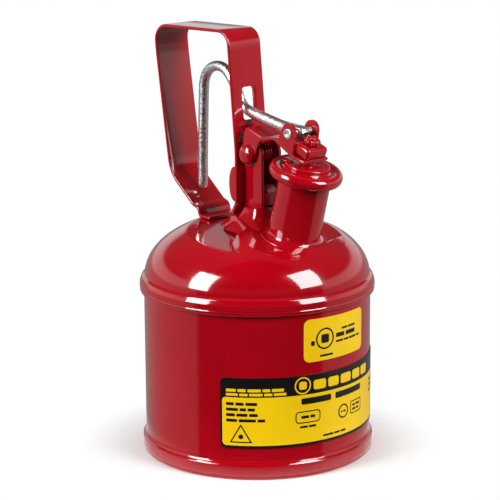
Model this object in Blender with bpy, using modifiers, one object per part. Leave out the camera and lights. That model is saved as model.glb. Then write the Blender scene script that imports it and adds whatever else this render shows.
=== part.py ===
"""Small steel safety gas can with a sprung pour lid, a rod trigger and a strap handle.

The can stands on its bottom chime, +Z up, and pours towards +X. The origin is at the
middle of the footprint, so the can's own axis is AXIS_X in front of it. Lengths below are
millimetres and are turned into metres by MM where they are used.
"""
import math

import bmesh
import bpy
from mathutils import Matrix, Vector

MM = 0.001
AXIS_X = 2.7                 # the can's axis, ahead of the middle of the footprint
GAP = 0.3                    # between pieces that touch
SEGMENTS = 48                # round the can
SMALL_SEGMENTS = 28          # round the spout, the lid and the pins

# the can
WALL_R = 59.5
WALL = 1.0
CHIME_R = 61.2
CHIME_H = 8.0
PAN_Z = 4.0
SEAM_R = 61.8
SEAM_Z = (85.2, 94.3)
DOME_R = 59.3
DOME_Z = 92.0
DOME_H = 33.0
DOME_POWER = 2.15
FLAT_Z = 116.7               # the pressed flat at the rear, at the can's axis
FLAT_SLOPE = -0.09
SEAT_Z = 116.9               # the pressed seat of the spout, at the spout's foot
FOOT_TOP_Z = 130.5           # the formed foot under the hinge bracket

# the spout and the lid share one leaning axis; s is the height along it from the lid's rim
SPOUT_TILT = math.radians(14.5)
LID_X = 36.6
LID_Z = 152.3
SPOUT_R = 13.5
SPOUT_FOOT_S = -40.0
SEAT_S = -36.3
LIP_S = -1.3
LIP_R = 14.6
RIM_R = 16.24
RIM_ROLL = (2.7, 3.2)         # the rolled rim's half width and half height
RIM_S = -0.4
BOSS_R = 11.6
BOSS_S = 4.8
PAD_S = 8.8                  # top of the arm's pad over the lid
SADDLE_S = 15.0

# the hinge, the trigger and the arm between them
HINGE_X = 2.4
HINGE_Z = 158.0
PIN_X = 32.5
PIN_Z = 172.3
HINGE_PIN_R = 2.3
RIVET_HEAD = (5.2, 3.0)       # the hinge pin's domed head: radius and height
TRIGGER_PIN_R = 1.9
RUNNING = 0.3
SHEET = 1.5
ARM_HALF = 8.8               # half the arm's width
FLANGE_HALF = 7.0            # half the bracket's width
ROD_R = 2.7

# the handle
STRAP_FRONT = 3.2            # the strap's front face behind the can's axis, at the bracket
STRAP_HALF = 11.2
STRAP_T = 1.7
SLOT_HALF = 4.2
SLOT_Z = (174.3, 191.3)
CLAMP_Z = (132.0, 151.2)     # the plate that clamps the strap to the bracket
WING_Z = 142.2

# the labels, on the wall towards +X
LABEL_T = 0.25
MAIN_LABEL = (61.5, 16.5, 53.5)      # half angle in degrees, lower edge, upper edge
SMALL_LABEL = (20.3, 60.0, 82.2)

RED = (0.36, 0.004, 0.010)
ZINC = (0.60, 0.61, 0.63)
BRASS = (0.55, 0.42, 0.18)
RUBBER = (0.02, 0.02, 0.02)
YELLOW = (0.85, 0.56, 0.01)


def clear_objects():
    """Start from an empty file, whatever was open."""
    for item in list(bpy.data.objects):
        bpy.data.objects.remove(item, do_unlink=True)


clear_objects()
PARTS = bpy.data.collections.new("safety_gas_can")
CUTTERS = bpy.data.collections.new("cutters")
for collection in (PARTS, CUTTERS):
    bpy.context.scene.collection.children.link(collection)

BASE = bpy.data.objects.new("can_axis", None)
BASE.location = (AXIS_X * MM, 0.0, 0.0)
PARTS.objects.link(BASE)


def material(name, colour, roughness, metallic=0.0):
    made = bpy.data.materials.new(name)
    made.use_nodes = True
    shader = made.node_tree.nodes["Principled BSDF"]
    shader.inputs["Base Color"].default_value = (*colour, 1.0)
    shader.inputs["Roughness"].default_value = roughness
    shader.inputs["Metallic"].default_value = metallic
    return made


def finish(item, look, cutter=False):
    """Put a new object in its collection, under the can's axis, with a material of its own."""
    for owner in list(item.users_collection):
        owner.objects.unlink(item)
    (CUTTERS if cutter else PARTS).objects.link(item)
    item.parent = BASE
    if cutter:
        item.hide_render = True
        item.display_type = "WIRE"
    else:
        item.data.materials.clear()
        item.data.materials.append(material(item.name + "_finish", *look))
    return item


def mesh_object(name, data, look=None, at=(0.0, 0.0, 0.0), turn=None, cutter=False):
    item = bpy.data.objects.new(name, data)
    PARTS.objects.link(item)
    item.location = Vector(at) * MM
    if turn is not None:
        item.rotation_euler = turn
    return finish(item, look, cutter)


def smooth(data, angle=40.0):
    data.shade_smooth()
    data.set_sharp_from_angle(angle=math.radians(angle))


def baked(item):
    """The object's evaluated mesh, as a mesh of its own in the object's own space."""
    bpy.context.view_layer.update()
    graph = bpy.context.evaluated_depsgraph_get()
    return bpy.data.meshes.new_from_object(item.evaluated_get(graph))


def turned(name, profile, look, at=(0.0, 0.0, 0.0), turn=None, segments=SMALL_SEGMENTS,
           closed=True, cutter=False):
    """A profile of (radius, height) points turned round Z. Outer side first, top to bottom."""
    data = bpy.data.meshes.new(name)
    points = [(r * MM, 0.0, z * MM) for r, z in profile]
    edges = [(i, i + 1) for i in range(len(points) - 1)]
    if closed:
        edges.append((len(points) - 1, 0))
    data.from_pydata(points, edges, [])
    item = mesh_object(name, data, look, at, turn, cutter)
    screw = item.modifiers.new("turn", "SCREW")
    screw.steps = segments
    screw.render_steps = segments
    screw.use_merge_vertices = True
    screw.merge_threshold = 0.00001
    screw.use_smooth_shade = True
    return item


def outline(name, points, half, look, at=(0.0, 0.0, 0.0), cutter=False, centre_y=0.0):
    """A flat outline of (x, z) points, extruded along Y to half on each side of centre_y."""
    data = bpy.data.curves.new(name, "CURVE")
    data.dimensions = "2D"
    data.fill_mode = "BOTH"
    data.extrude = half * MM
    spline = data.splines.new("POLY")
    spline.points.add(len(points) - 1)
    for point, (x, z) in zip(spline.points, points):
        point.co = (x * MM, z * MM, 0.0, 1.0)
    spline.use_cyclic_u = True
    item = bpy.data.objects.new(name + "_outline", data)
    bpy.context.scene.collection.objects.link(item)
    flat = baked(item)
    bpy.data.objects.remove(item, do_unlink=True)
    stand = Matrix.Translation((0.0, centre_y * MM, 0.0)) @ Matrix.Rotation(math.pi / 2, 4, "X")
    flat.transform(stand)
    tidy(flat)
    return mesh_object(name, flat, look, at, None, cutter)


def tidy(data):
    """Weld a mesh's loose caps and turn its faces outwards."""
    work = bmesh.new()
    work.from_mesh(data)
    bmesh.ops.remove_doubles(work, verts=work.verts, dist=0.000002)
    bmesh.ops.recalc_face_normals(work, faces=work.faces)
    work.to_mesh(data)
    work.free()


def rod_mesh(name, points, radius, sides=2):
    """A round bar along a list of points, as a welded mesh."""
    data = bpy.data.curves.new(name, "CURVE")
    data.dimensions = "3D"
    data.bevel_depth = radius * MM
    data.bevel_resolution = sides
    data.use_fill_caps = True
    spline = data.splines.new("POLY")
    spline.points.add(len(points) - 1)
    for point, place in zip(spline.points, points):
        point.co = (*(Vector(place) * MM), 1.0)
    item = bpy.data.objects.new(name + "_curve", data)
    bpy.context.scene.collection.objects.link(item)
    solid = baked(item)
    bpy.data.objects.remove(item, do_unlink=True)
    tidy(solid)
    smooth(solid, 50.0)
    return solid


def drum(name, radius, half, look=None, at=(0.0, 0.0, 0.0), cutter=True, segments=24):
    """A cylinder along Y."""
    work = bmesh.new()
    bmesh.ops.create_cone(work, cap_ends=True, segments=segments, radius1=radius * MM,
                          radius2=radius * MM, depth=2 * half * MM)
    bmesh.ops.rotate(work, verts=work.verts, matrix=Matrix.Rotation(math.pi / 2, 3, "X"))
    data = bpy.data.meshes.new(name)
    work.to_mesh(data)
    work.free()
    return mesh_object(name, data, look, at, None, cutter)


def block(name, size, look=None, at=(0.0, 0.0, 0.0), turn=None, cutter=True, bevel=0.0):
    """A box of full sizes (x, y, z) about its middle."""
    work = bmesh.new()
    bmesh.ops.create_cube(work, size=1.0)
    bmesh.ops.scale(work, verts=work.verts, vec=Vector(size) * MM)
    data = bpy.data.meshes.new(name)
    work.to_mesh(data)
    work.free()
    item = mesh_object(name, data, look, at, turn, cutter)
    if bevel:
        edge = item.modifiers.new("edges", "BEVEL")
        edge.width = bevel * MM
        edge.segments = 3
    return item


def combine(item, other, operation="DIFFERENCE"):
    cut = item.modifiers.new(operation.lower(), "BOOLEAN")
    cut.operation = operation
    cut.solver = "EXACT"
    cut.object = other
    return item


def spout_point(across, along):
    """The can-frame (x, z) of a point across the spout's axis (towards +X) and along it."""
    x = LID_X + across * math.cos(SPOUT_TILT) + along * math.sin(SPOUT_TILT)
    z = LID_Z - across * math.sin(SPOUT_TILT) + along * math.cos(SPOUT_TILT)
    return x, z


SPOUT_AT = (LID_X, 0.0, LID_Z)
SPOUT_TURN = (0.0, SPOUT_TILT, 0.0)


def arc(cx, cz, radius, start, stop, steps=6):
    """Points on an arc, in degrees, anticlockwise when stop is above start."""
    made = []
    for i in range(steps + 1):
        a = math.radians(start + (stop - start) * i / steps)
        made.append((cx + radius * math.cos(a), cz + radius * math.sin(a)))
    return made


def filleted(corners, steps=5):
    """A path through (x, z, radius) corners, each rounded by its own radius."""
    path = [corners[0][:2]]
    for before, here, after in zip(corners, corners[1:], corners[2:]):
        p0, p1, p2 = Vector(before[:2]), Vector(here[:2]), Vector(after[:2])
        a, b = (p0 - p1).normalized(), (p2 - p1).normalized()
        half = math.acos(max(-1.0, min(1.0, a.dot(b)))) / 2
        reach = here[2] / math.tan(half)
        centre = p1 + (a + b).normalized() * (here[2] / math.sin(half))
        first, last = p1 + a * reach - centre, p1 + b * reach - centre
        turn = first.angle_signed(last)
        for i in range(steps + 1):
            swing = Matrix.Rotation(-turn * i / steps, 2)
            path.append(tuple(centre + swing @ first))
    path.append(corners[-1][:2])
    return path


def smoothstep(value):
    value = max(0.0, min(1.0, value))
    return value * value * (3.0 - 2.0 * value)


# ---------------------------------------------------------------- the can

def dome_height(r):
    inside = max(0.0, 1.0 - (r / DOME_R) ** DOME_POWER)
    return DOME_Z + DOME_H * inside ** (1.0 / DOME_POWER)


def pressed_height(x, y):
    """The top's outer height: a dome with a flat at the rear and the spout's leaning seat."""
    dome = dome_height(math.hypot(x, y))
    rear = min(dome, FLAT_Z + FLAT_SLOPE * x)
    foot_x = spout_point(0.0, SEAT_S)[0]
    front = min(dome, SEAT_Z - math.tan(SPOUT_TILT) * (x - foot_x))
    edge = 0.7 * abs(y) - 14.0
    return rear + (front - rear) * smoothstep((x - edge) / 13.0)


def press(data, lift=0.0):
    """Press a turned dome's vertices to the top's real height, and lift them if asked."""
    for vertex in data.vertices:
        x, y, z = vertex.co / MM
        r = math.hypot(x, y)
        if r < 58.0 and z > 95.0:
            vertex.co.z += (pressed_height(x, y) - dome_height(r) + lift) * MM


def make_can():
    body = [(WALL_R, SEAM_Z[0] + 2.4), (WALL_R, CHIME_H + GAP),
            (WALL_R - WALL, CHIME_H + GAP), (WALL_R - WALL, SEAM_Z[0] + 2.4)]
    turned("body_shell", body, (RED, 0.12), segments=SEGMENTS)

    pan = [(0.0, PAN_Z + WALL), (57.2, PAN_Z + WALL), (57.6, 7.4), (58.5, CHIME_H),
           (60.2, CHIME_H), (60.9, 7.2), (CHIME_R, 5.0), (CHIME_R, 2.4), (60.9, 0.8),
           (60.2, 0.0), (58.8, 0.0), (58.2, 0.8), (57.4, PAN_Z), (0.0, PAN_Z)]
    turned("bottom_pan", pan, (RED, 0.15), segments=SEGMENTS, closed=False)

    radii = [45.0 * i / 15 for i in range(16)] + [50.0, 54.0, 57.0, 58.6, 59.2]
    outer = [(r, dome_height(r)) for r in radii]
    seam = [(59.7, SEAM_Z[1]), (60.9, 93.9), (61.6, 92.6), (SEAM_R, 90.5), (SEAM_R, 88.4),
            (61.5, 86.6), (60.9, 85.5), (60.0, SEAM_Z[0]), (WALL_R + GAP, 87.4),
            (WALL_R + GAP, 87.9), (58.2, 87.9), (58.2, 92.5)]
    inner = [(max(0.0, r - 1.0 * (r / 59.2) ** 4), z - 1.0) for r, z in reversed(outer[:-1])]
    shell = turned("dome_top", outer + seam + inner, (RED, 0.10), segments=SEGMENTS, closed=False)
    pressed = baked(shell)
    tidy(pressed)
    press(pressed)
    shell.modifiers.clear()
    shell.data = pressed
    shell.data.materials.clear()
    shell.data.materials.append(bpy.data.materials["dome_top_finish"])
    smooth(pressed)
    way = [(0.0, 6.0), (SPOUT_R + 0.8, 6.0), (SPOUT_R + 0.8, -16.0), (0.0, -16.0)]
    hole = turned("spout_hole", way, None, at=foot_of_spout(), turn=SPOUT_TURN, closed=False,
                  cutter=True)
    combine(shell, hole)

    room = turned("dome_room", outer + [(0.0, 96.0)], None, segments=SEGMENTS, closed=False,
                  cutter=True)
    above = baked(room)
    tidy(above)
    press(above, 0.5)
    room.modifiers.clear()
    room.data = above
    make_bracket_foot(room)


def make_bracket_foot(room):
    """The formed foot that fills the space between the dome and the bracket."""
    work = bmesh.new()
    for middle, half_x, half_y, z in ((-0.9, 13.0, 15.0, 115.0), (3.1, 6.6, 9.6, FOOT_TOP_Z)):
        for i in range(20):
            a = 2 * math.pi * i / 20
            x, y = (math.copysign(abs(v) ** 0.6, v) for v in (math.cos(a), math.sin(a)))
            work.verts.new(Vector((middle + half_x * x, half_y * y, z)) * MM)
    bmesh.ops.convex_hull(work, input=work.verts)
    data = bpy.data.meshes.new("bracket_foot")
    work.to_mesh(data)
    work.free()
    combine(mesh_object("bracket_foot", data, (RED, 0.12)), room)


def foot_of_spout():
    x, z = spout_point(0.0, SEAT_S)
    return x, 0.0, z


# ---------------------------------------------------------------- the spout and the lid

def make_spout():
    tube = [(SPOUT_R - 1.0, LIP_S), (LIP_R - 0.6, LIP_S), (LIP_R, LIP_S - 0.7),
            (LIP_R, LIP_S - 1.5), (LIP_R - 0.5, LIP_S - 2.2), (SPOUT_R, LIP_S - 2.6),
            (SPOUT_R, SPOUT_FOOT_S), (SPOUT_R - 1.0, SPOUT_FOOT_S)]
    turned("spout_tube", tube, (RED, 0.12), SPOUT_AT, SPOUT_TURN, segments=40)

    foot = SEAT_S + 3 * GAP
    collar = [(SPOUT_R + GAP, foot + 3.4), (14.3, foot + 2.2), (15.0, foot + 1.2),
              (16.2, foot + 0.4), (16.2, foot), (SPOUT_R + GAP, foot)]
    turned("spout_collar", collar, (RED, 0.12), SPOUT_AT, SPOUT_TURN, segments=40)

    screen = [(12.1, -5.6), (12.1, -31.0), (0.0, -31.0), (0.0, -30.2), (11.4, -30.2),
              (11.4, -5.6)]
    turned("arrester_screen", screen, (BRASS, 0.4, 1.0), SPOUT_AT, SPOUT_TURN)

    ring = [(12.2, -4.2), (12.2, -5.3), (9.6, -5.3), (9.6, -4.2)]
    turned("arrester_ring", ring, (BRASS, 0.4, 1.0), SPOUT_AT, SPOUT_TURN)


def make_lid():
    rim = [(RIM_R + RIM_ROLL[0] * x, RIM_S + RIM_ROLL[1] * s)
           for x, s in arc(0.0, 0.0, 1.0, 120.0, -90.0, 8)]
    cap = [(0.0, BOSS_S), (BOSS_R - 1.0, BOSS_S), (BOSS_R - 0.2, BOSS_S - 0.6),
           (BOSS_R + 0.2, 2.4), (12.6, 1.6), (13.6, 1.6)]
    under = [(15.2, -2.4), (14.95, -1.4), (14.95, 0.5), (10.4, 0.5), (9.8, 3.5), (0.0, 3.5)]
    turned("lid_cap", cap + rim + under, (RED, 0.12), SPOUT_AT, SPOUT_TURN, 32, closed=False)

    gasket = [(14.6, 0.2), (14.6, -1.0), (11.2, -1.0), (11.2, 0.2)]
    turned("lid_gasket", gasket, (RUBBER, 0.7), SPOUT_AT, SPOUT_TURN, 40)

    plate = [(0.0, 3.2), (3.0, 3.2), (3.0, -1.3), (11.9, -1.3), (11.9, -2.3), (0.0, -2.3)]
    turned("gasket_retainer", plate, (ZINC, 0.4, 1.0), SPOUT_AT, SPOUT_TURN, closed=False)

    stud = [(0.0, 19.0), (1.2, 19.0), (1.6, 18.6), (1.6, BOSS_S + 1.3), (4.0, BOSS_S + 1.3),
            (4.0, BOSS_S + GAP), (0.0, BOSS_S + GAP)]
    turned("lid_stud", stud, (ZINC, 0.35, 1.0), SPOUT_AT, SPOUT_TURN, 20, closed=False)

    base, top = BOSS_S + 1.3 + GAP + 0.45, SADDLE_S - 1.2 - GAP - 0.45
    coil("relief_spring", 2.6, 0.45, base, top, 3.5, (ZINC, 0.3, 1.0))

    size = (9.8, 14.0, SADDLE_S - PAD_S - GAP)
    middle = PAD_S + GAP + size[2] / 2
    x, z = spout_point(0.3, middle)
    saddle = block("lid_saddle", size, (RED, 0.12), (x, 0.0, z), SPOUT_TURN, False, 1.3)
    hollow = (size[0] - 2.4, size[1] - 2.4, size[2])
    x, z = spout_point(0.3, middle - 1.2)
    combine(saddle, block("saddle_hollow", hollow, at=(x, 0.0, z), turn=SPOUT_TURN))
    hole = [(0.0, 22.0), (2.1, 22.0), (2.1, 8.0), (0.0, 8.0)]
    combine(saddle, turned("stud_hole", hole, None, SPOUT_AT, SPOUT_TURN, 16, False, True))

    nut = bmesh.new()
    lobes = 10
    heights = (SADDLE_S + GAP, SADDLE_S + GAP + 2.9)
    rings = []
    for radius_base, height in ((4.1, heights[0]), (4.5, heights[0] + 0.4),
                                (4.5, heights[1] - 0.6), (3.9, heights[1])):
        ring = []
        for i in range(lobes * 4):
            a = 2 * math.pi * i / (lobes * 4)
            r = radius_base + 0.32 * math.cos(lobes * a)
            ring.append(nut.verts.new((r * math.cos(a) * MM, r * math.sin(a) * MM, height * MM)))
        rings.append(ring)
    count = lobes * 4
    bore = []
    for height in (heights[1], heights[0]):
        bore.append([nut.verts.new((1.9 * MM * math.cos(2 * math.pi * i / count),
                                    1.9 * MM * math.sin(2 * math.pi * i / count),
                                    height * MM)) for i in range(count)])
    loops = rings + bore + [rings[0]]
    for lower, upper in zip(loops, loops[1:]):
        for i in range(count):
            j = (i + 1) % count
            nut.faces.new((lower[i], lower[j], upper[j], upper[i]))
    bmesh.ops.recalc_face_normals(nut, faces=nut.faces)
    data = bpy.data.meshes.new("lid_nut")
    nut.to_mesh(data)
    nut.free()
    mesh_object("lid_nut", data, (RED, 0.15), SPOUT_AT, SPOUT_TURN)


def coil(name, radius, wire, low, high, turns, look):
    """An open coil spring round the spout's axis, from low to high along it."""
    points = []
    per_turn = 12
    for i in range(int(turns * per_turn) + 1):
        a = 2 * math.pi * i / per_turn
        s = low + (high - low) * i / (turns * per_turn)
        points.append((radius * math.cos(a), radius * math.sin(a), s))
    mesh_object(name, rod_mesh(name, points, wire, 1), look, SPOUT_AT, SPOUT_TURN)


# ---------------------------------------------------------------- the arm and the bracket

ARM_TOP = [(1.4, 171.6), (12.3, 167.6), (22.0, 169.3), spout_point(-2.5, PAD_S),
           spout_point(4.9, PAD_S)]


def strip_outline(top, thickness):
    """A bent strip's outline: its top line, then the same line one thickness lower."""
    lower = []
    for i, (x, z) in enumerate(top):
        before = Vector(top[max(0, i - 1)])
        after = Vector(top[min(len(top) - 1, i + 1)])
        along = (after - before).normalized()
        lower.append((x + along.y * thickness, z - along.x * thickness))
    return top + lower[::-1]


def make_arm():
    arm = outline("lid_arm", strip_outline(ARM_TOP, SHEET), ARM_HALF - 0.05, (RED, 0.12))
    hinge_ear = [(3.4, 170.0), (0.5, 169.8), (-0.9, 164.0)]
    hinge_ear += arc(HINGE_X, HINGE_Z, 5.4, 150.0, 350.0, 10)
    hinge_ear += [(9.6, 162.6), (12.4, 166.4), (19.5, 167.9), (12.3, 167.0)]
    trigger_ear = [(24.6, 167.5)] + arc(PIN_X + 0.3, PIN_Z + 0.6, 4.7, 150.0, -15.0, 8)
    trigger_ear += [(35.6, 161.1)]
    middle = ARM_HALF - SHEET / 2
    for side in (-1, 1):
        for name, shape in (("hinge_ear", hinge_ear), ("trigger_ear", trigger_ear)):
            ear = outline(f"{name}_{side + 1}", shape, SHEET / 2, None, cutter=True,
                          centre_y=side * middle)
            combine(arm, ear, "UNION")
    holes = [drum("arm_hinge_hole", HINGE_PIN_R + RUNNING, 12.0, at=(HINGE_X, 0.0, HINGE_Z)),
             drum("arm_pin_hole", TRIGGER_PIN_R + RUNNING, 12.0, at=(PIN_X, 0.0, PIN_Z))]
    for hole in holes:
        combine(arm, hole)
    way = [(0.0, 12.0), (4.3, 12.0), (4.3, 4.0), (0.0, 4.0)]
    combine(arm, turned("pad_hole", way, None, SPOUT_AT, SPOUT_TURN, 20, False, True))


def make_bracket():
    web_x = -1.4
    inset = 0.05
    web = outline("hinge_bracket", [(web_x + inset, 131.0 + inset), (web_x + SHEET, 131.0 + inset),
                                    (web_x + SHEET, 152.6), (web_x + inset, 152.6)],
                  FLANGE_HALF - inset, (RED, 0.12))
    flange = [(web_x, 131.0), (11.2, 131.0)]
    flange += arc(6.6, 158.6, 4.6, 0.0, 90.0, 5) + [(web_x, 163.8)]
    middle = FLANGE_HALF - SHEET / 2
    for side in (-1, 1):
        combine(web, outline(f"flange_{side + 1}", flange, SHEET / 2, None, cutter=True,
                             centre_y=side * middle), "UNION")
    hole = drum("bracket_hole", HINGE_PIN_R + RUNNING, 12.0, at=(HINGE_X, 0.0, HINGE_Z))
    combine(web, hole)

    anchor = [(7.6, 131.2), (10.6, 131.2), (10.6, 138.0), (9.2, 142.0), (8.1, 142.0),
              (7.6, 137.0)]
    outline("spring_anchor", anchor, FLANGE_HALF - SHEET - GAP, (RED, 0.15))

    back_x = -STRAP_FRONT + GAP
    plate_t = 1.1
    root_x = back_x + plate_t / 2
    wing = [(root_x + (x - root_x) * 0.5, z)
            for x, z in arc(root_x, WING_Z, 8.8, 90.0, 270.0, 12)]
    low, high = CLAMP_Z
    saddle = outline("strap_saddle", [(back_x, low), (back_x + plate_t, low),
                                      (back_x + plate_t, high), (back_x, high)],
                     STRAP_HALF + GAP + 1.15, (RED, 0.12))
    for side in (-1, 1):
        place = side * (STRAP_HALF + GAP + 0.6)
        combine(saddle, outline(f"wing_{side + 1}", wing, 0.6, None, cutter=True,
                                centre_y=place), "UNION")


def make_hinge_pin():
    head = [(RIVET_HEAD[0] * x, ARM_HALF + GAP + RIVET_HEAD[1] * z)
            for x, z in arc(0.0, 0.0, 1.0, 90.0, 0.0, 6)]
    tail = -ARM_HALF - GAP
    profile = head + [(HINGE_PIN_R, ARM_HALF + GAP), (HINGE_PIN_R, tail), (4.0, tail),
                      (3.7, tail - 1.3), (0.0, tail - 1.6)]
    turned("hinge_pin", profile, (RED, 0.12), (HINGE_X, 0.0, HINGE_Z),
           (math.pi / 2, 0.0, 0.0), 24, closed=False)

    pin = [(0.0, ARM_HALF + 1.1), (2.3, ARM_HALF + 1.1), (2.9, ARM_HALF + 0.8),
           (2.9, ARM_HALF + GAP), (TRIGGER_PIN_R, ARM_HALF + GAP),
           (TRIGGER_PIN_R, -ARM_HALF - GAP), (2.9, -ARM_HALF - GAP),
           (2.9, -ARM_HALF - 0.8), (2.3, -ARM_HALF - 1.1), (0.0, -ARM_HALF - 1.1)]
    turned("trigger_pin", pin, (ZINC, 0.35, 1.0), (PIN_X, 0.0, PIN_Z),
           (math.pi / 2, 0.0, 0.0), 20, closed=False)


def make_torsion_spring():
    """The closing spring: a coil on the hinge pin, one leg on its anchor, one under the arm."""
    radius, wire, turns, per_turn = 3.9, 0.65, 4.25, 14
    half = 3.4
    start, stop = math.radians(-60.0), math.radians(-60.0) + 2 * math.pi * turns
    steps = int(turns * per_turn)
    loop = []
    for i in range(steps + 1):
        a = start + (stop - start) * i / steps
        y = -half + 2 * half * i / steps
        loop.append((radius * math.cos(a), y, radius * math.sin(a)))
    first_leg = [(5.4, -half, -14.9), (5.2, -half, -11.0), (4.4, -half, -6.4)]
    last_leg = [(10.8, half, 6.3), (8.6, half, 5.6), (5.0, half, 4.0)]
    points = first_leg + loop + last_leg[::-1]
    mesh_object("torsion_spring", rod_mesh("torsion_spring", points, wire, 1),
                (ZINC, 0.35, 1.0), (HINGE_X, 0.0, HINGE_Z))


# ---------------------------------------------------------------- the trigger and the handle

ROD_LINE = [(-42.2, 133.4), (-42.0, 150.0), (-41.2, 172.0), (-40.6, 186.0), (-39.9, 191.5),
            (-37.4, 196.2), (-33.0, 199.2), (-27.5, 199.9), (-22.6, 198.2), (-18.8, 194.6),
            (-15.6, 190.2), (-13.2, 186.4), (-11.4, 182.9), (-8.6, 180.2), (-3.5, 178.3),
            (4.1, 176.6), (11.6, 175.1), (21.2, 173.3), (29.4, 172.4)]


def make_trigger():
    points = [(x - PIN_X, 0.0, z - PIN_Z) for x, z in ROD_LINE]
    bar = mesh_object("trigger_rod", rod_mesh("trigger_rod", points, ROD_R, 3),
                      (ZINC, 0.35, 1.0), (PIN_X, 0.0, PIN_Z))
    eye = drum("trigger_eye", 3.5, ROD_R + 0.2, at=(PIN_X, 0.0, PIN_Z))
    combine(bar, eye, "UNION")
    combine(bar, drum("eye_hole", TRIGGER_PIN_R + 0.25, 6.0, at=(PIN_X, 0.0, PIN_Z)))
    return bar


STRAP_LINE = [(-8.6, 126.6, 0.0), (-STRAP_FRONT - 0.1, 131.4, 4.0),
              (-STRAP_FRONT, 158.0, 60.0),
              (-9.2, 221.0, 8.5), (-68.4, 220.2, 9.0), (-66.6, 204.0, 60.0),
              (-56.9, 140.4, 20.0), (-38.5, 125.2, 6.0), (-34.4, 123.9, 2.6),
              (-33.7, 120.15, 2.0), (-25.0, 119.4, 0.0)]


def make_strap():
    path = filleted(STRAP_LINE, 6)
    data = bpy.data.meshes.new("handle_strap")
    points = []
    for x, z in path:
        points.append((x * MM, -STRAP_HALF * MM, z * MM))
        points.append((x * MM, STRAP_HALF * MM, z * MM))
    faces = [(2 * i, 2 * i + 2, 2 * i + 3, 2 * i + 1) for i in range(len(path) - 1)]
    data.from_pydata(points, [], faces)
    strap = mesh_object("handle_strap", data, (RED, 0.12))
    sheet = strap.modifiers.new("sheet", "SOLIDIFY")
    sheet.thickness = STRAP_T * MM
    sheet.offset = 1.0
    sheet.use_even_offset = True
    low, high = SLOT_Z
    size = (14.0, 2 * SLOT_HALF, high - low)
    combine(strap, block("slot", size, at=(-6.0, 0.0, (low + high) / 2), bevel=1.2))


# ---------------------------------------------------------------- the labels

def make_label(name, half_angle, low, high, look):
    """A thin sheet on the wall, symmetric about +X."""
    steps = max(6, int(half_angle / 3.0))
    inner, outer = WALL_R + GAP, WALL_R + GAP + LABEL_T
    work = bmesh.new()
    columns = []
    for i in range(2 * steps + 1):
        a = math.radians(half_angle * (i - steps) / steps)
        column = []
        for r, z in ((inner, low), (outer, low), (outer, high), (inner, high)):
            column.append(work.verts.new((r * math.cos(a) * MM, r * math.sin(a) * MM, z * MM)))
        columns.append(column)
    for left, right in zip(columns, columns[1:]):
        for i in range(4):
            j = (i + 1) % 4
            work.faces.new((left[i], left[j], right[j], right[i]))
    work.faces.new(columns[0])
    work.faces.new(columns[-1][::-1])
    bmesh.ops.recalc_face_normals(work, faces=work.faces)
    data = bpy.data.meshes.new(name)
    work.to_mesh(data)
    work.free()
    mesh_object(name, data, look)


make_can()
make_spout()
make_lid()
make_arm()
make_bracket()
make_hinge_pin()
make_torsion_spring()
make_trigger()
make_strap()
make_label("main_label", *MAIN_LABEL, (YELLOW, 0.4))
make_label("small_label", *SMALL_LABEL, (YELLOW, 0.4))
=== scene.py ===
"""The looks of a small red safety can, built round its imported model.

Points are written in millimetres from the can's own axis and the plane it stands on, and
place() turns them into the row's metres.
"""

import math  # noqa: E402
import random  # noqa: E402

import bmesh  # noqa: E402
import bpy  # noqa: E402
from mathutils import Matrix, Vector  # noqa: E402


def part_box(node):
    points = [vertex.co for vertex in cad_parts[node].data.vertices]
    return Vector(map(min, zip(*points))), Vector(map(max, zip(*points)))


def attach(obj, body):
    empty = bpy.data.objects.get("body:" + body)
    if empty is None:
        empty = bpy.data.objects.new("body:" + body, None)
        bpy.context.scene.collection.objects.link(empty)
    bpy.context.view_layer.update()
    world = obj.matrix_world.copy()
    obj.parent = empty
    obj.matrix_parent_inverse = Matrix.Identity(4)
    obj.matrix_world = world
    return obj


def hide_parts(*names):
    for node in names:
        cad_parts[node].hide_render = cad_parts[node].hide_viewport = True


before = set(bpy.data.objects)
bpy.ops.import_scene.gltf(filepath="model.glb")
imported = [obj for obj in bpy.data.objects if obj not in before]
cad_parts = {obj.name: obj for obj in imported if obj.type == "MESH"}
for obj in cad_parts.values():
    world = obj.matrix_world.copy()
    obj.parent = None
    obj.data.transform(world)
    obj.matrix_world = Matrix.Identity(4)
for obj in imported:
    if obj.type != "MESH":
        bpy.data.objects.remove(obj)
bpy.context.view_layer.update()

MM = 0.001
wall_low, wall_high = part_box("body_shell")
AXIS = (wall_low.x + wall_high.x) / 2          # the can's axis, in the row's metres

# sizes: Z is above the plane the can stands on, S is along the spout from (LID_X, LID_Z)
WALL_R = 59.5
SEAM_R = 61.8
SEAM_LOW, SEAM_TOP = 85.2, 94.3
DOME_R, DOME_Z, DOME_H, DOME_POWER = 59.3, 92.0, 33.0, 2.15
PRESSED_R = 56.0             # the pressing ends inside this radius
FLAT_Z, FLAT_SLOPE = 116.7, -0.09
SEAT_Z = 116.9
FOOT_TOP_Z = 130.5
TILT = math.radians(14.5)
LID_X, LID_Z = 36.6, 152.3
SPOUT_R, SEAT_S, LIP_S, LIP_R = 13.5, -36.3, -1.3, 14.6
RIM_R, RIM_ROLL, RIM_S = 16.24, (2.7, 3.2), -0.4
BOSS_R, BOSS_S, PAD_S, SADDLE_S = 11.6, 4.8, 8.8, 15.0
HINGE = (2.4, 158.0)
PIN = (32.5, 172.3)
SHEET = 1.5
ARM_HALF, FLANGE_HALF = 8.8, 7.0
ROD_R = 2.7
STRAP_HALF, STRAP_T, STRAP_FRONT = 11.2, 1.7, 3.2
SLOT_HALF, SLOT_Z = 4.2, (174.3, 191.3)
SLOT_R = 2.0                 # the slot's corners
EAR_R = 5.4                  # the arm's ears round the hinge
HINGE_HOLE_R, PIN_HOLE_R, EYE_R, PAD_BORE_R = 2.6, 2.2, 2.15, 4.3
WEB_X = -1.4                 # the rear face of the bracket's web

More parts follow.
